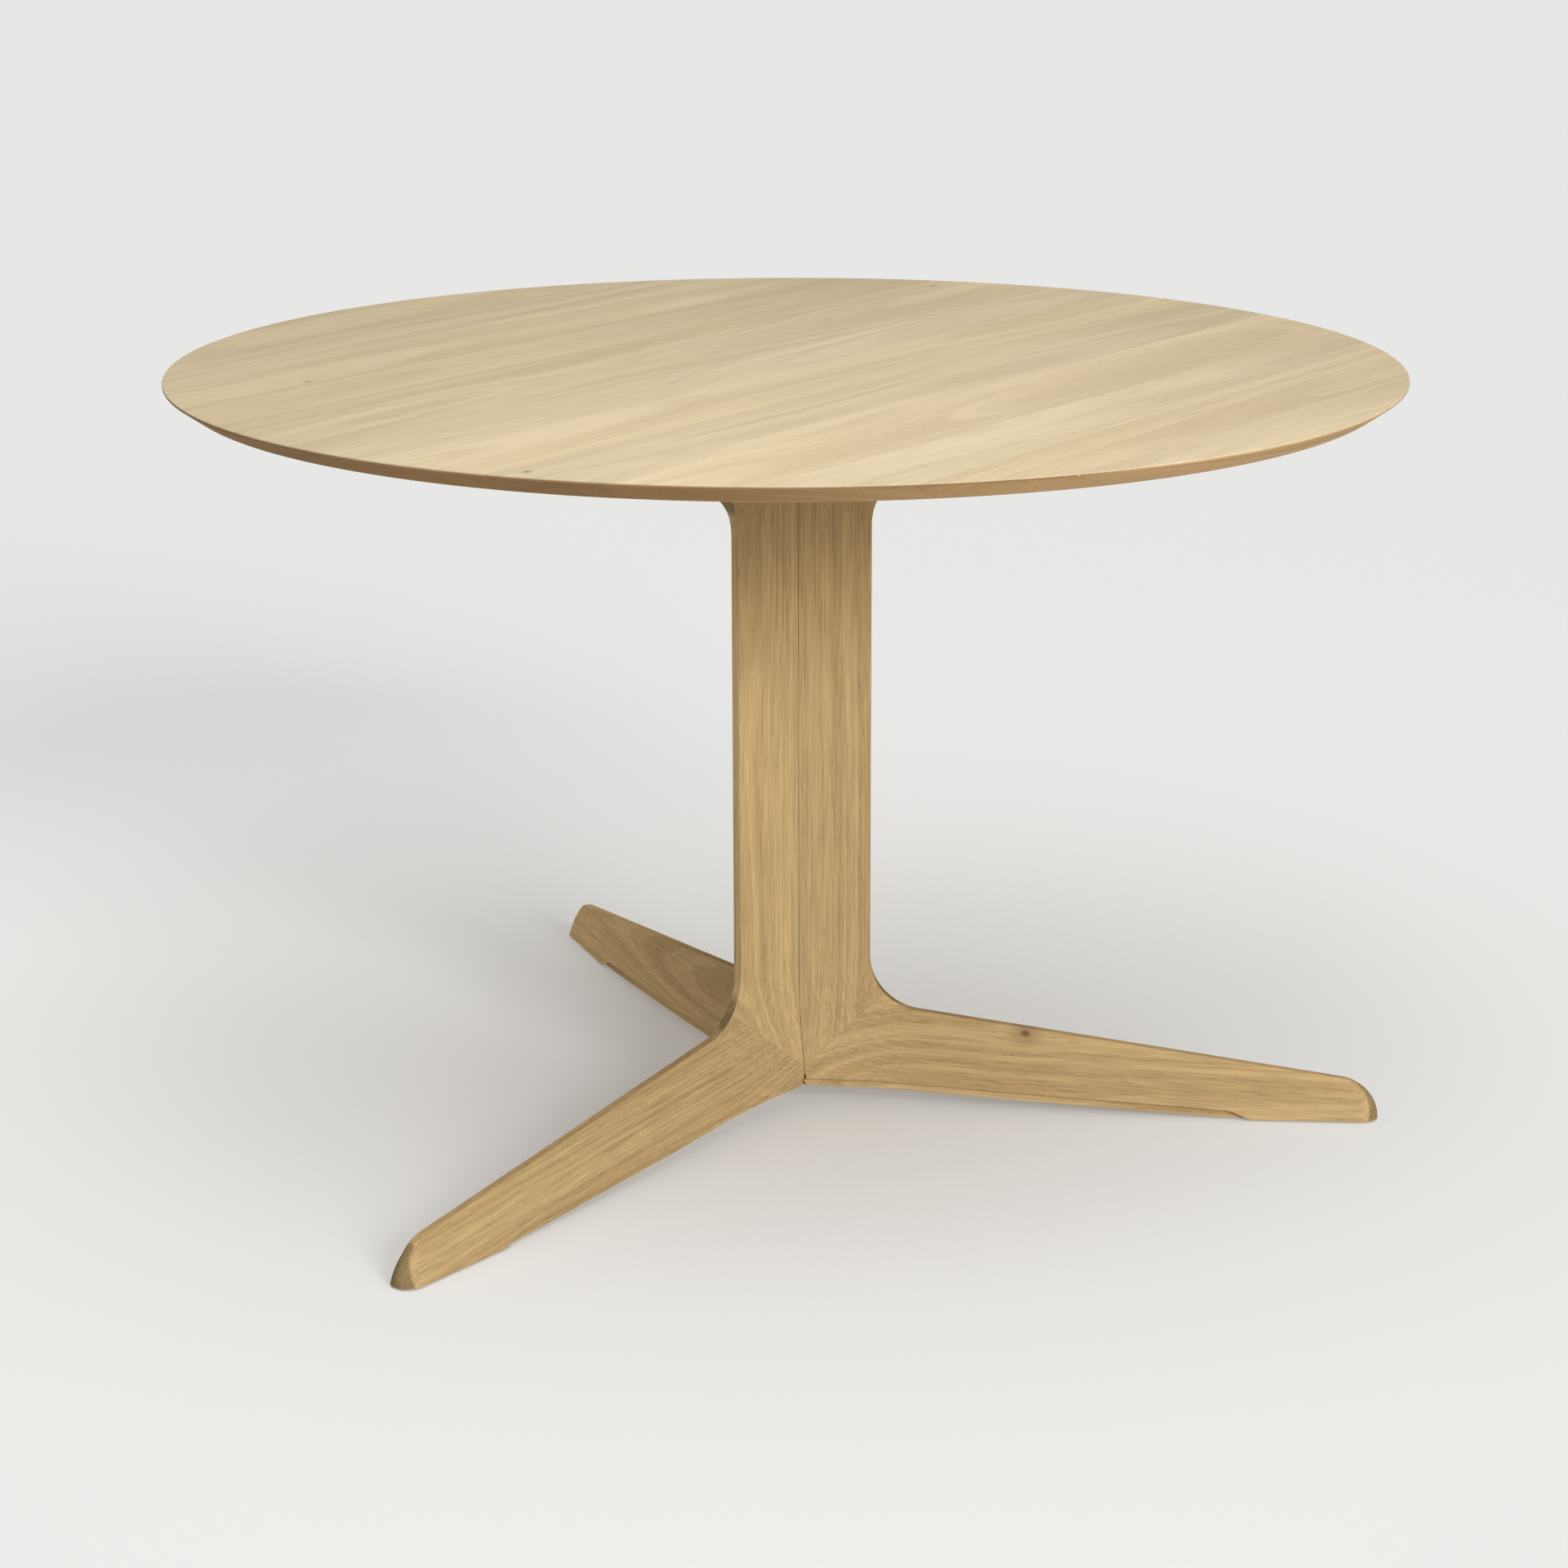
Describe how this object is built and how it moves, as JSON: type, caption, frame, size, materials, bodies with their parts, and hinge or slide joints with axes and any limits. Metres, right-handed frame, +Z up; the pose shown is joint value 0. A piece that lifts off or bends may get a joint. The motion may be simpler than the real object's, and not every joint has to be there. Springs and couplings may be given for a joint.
{
  "type": "round pedestal table",
  "caption": "Round dining table: a thin glued-up oak disc with an undercut rim on a slim star-shaped oak column that sweeps out into low tapering feet.",
  "frame": {"origin": "on the floor under the middle of the tabletop, on the column's axis", "axes": "+Z up; +X to the right and +Y away from the viewer in the view the table is shown from; one leg points 6 degrees clockwise of +X seen from above"},
  "size_m": [1.1996, 1.1996, 0.76],
  "materials": {
    "oak_top": "clear matt oil on fine straight-grained oak",
    "oak_base": "clear matt oil on oak with knots and ray flecks",
    "beech": "planed, unfinished, glued in",
    "painted_steel": "dark satin powder coat",
    "zinc_steel": "bright zinc plate",
    "nylon": "moulded, dark"
  },
  "bodies": {
    "root": {"arm_board_1": "oak_base", "arm_board_2": "oak_base", "arm_board_3": "oak_base", "arm_bolt_1": "zinc_steel", "arm_bolt_2": "zinc_steel", "arm_bolt_3": "zinc_steel", "arm_bolt_4": "zinc_steel", "arm_bolt_5": "zinc_steel", "arm_bolt_6": "zinc_steel", "batten_screw_1": "zinc_steel", "batten_screw_2": "zinc_steel", "batten_screw_3": "zinc_steel", "batten_screw_4": "zinc_steel", "batten_screw_5": "zinc_steel", "batten_screw_6": "zinc_steel", "column_board_1": "oak_base", "column_board_2": "oak_base", "column_board_3": "oak_base", "foot_glide_1": "nylon", "foot_glide_2": "nylon", "foot_glide_3": "nylon", "glide_screw_1": "zinc_steel", "glide_screw_2": "zinc_steel", "glide_screw_3": "zinc_steel", "hub_plate_screw_1": "zinc_steel", "hub_plate_screw_2": "zinc_steel", "hub_plate_screw_3": "zinc_steel", "hub_spline_1": "beech", "hub_spline_2": "beech", "hub_spline_3": "beech", "hub_tie_plate": "painted_steel", "leg_board_1": "oak_base", "leg_board_2": "oak_base", "leg_board_3": "oak_base", "lower_mitre_tenon_1": "beech", "lower_mitre_tenon_2": "beech", "lower_mitre_tenon_3": "beech", "steel_batten_1": "painted_steel", "steel_batten_2": "painted_steel", "threaded_insert_1": "zinc_steel", "threaded_insert_2": "zinc_steel", "threaded_insert_3": "zinc_steel", "threaded_insert_4": "zinc_steel", "threaded_insert_5": "zinc_steel", "threaded_insert_6": "zinc_steel", "top_stave_01": "oak_top", "top_stave_02": "oak_top", "top_stave_03": "oak_top", "top_stave_04": "oak_top", "top_stave_05": "oak_top", "top_stave_06": "oak_top", "top_stave_07": "oak_top", "top_stave_08": "oak_top", "top_stave_09": "oak_top", "top_stave_10": "oak_top", "top_stave_11": "oak_top", "top_stave_12": "oak_top", "upper_mitre_tenon_1": "beech", "upper_mitre_tenon_2": "beech", "upper_mitre_tenon_3": "beech"}
  },
  "joints": []
}
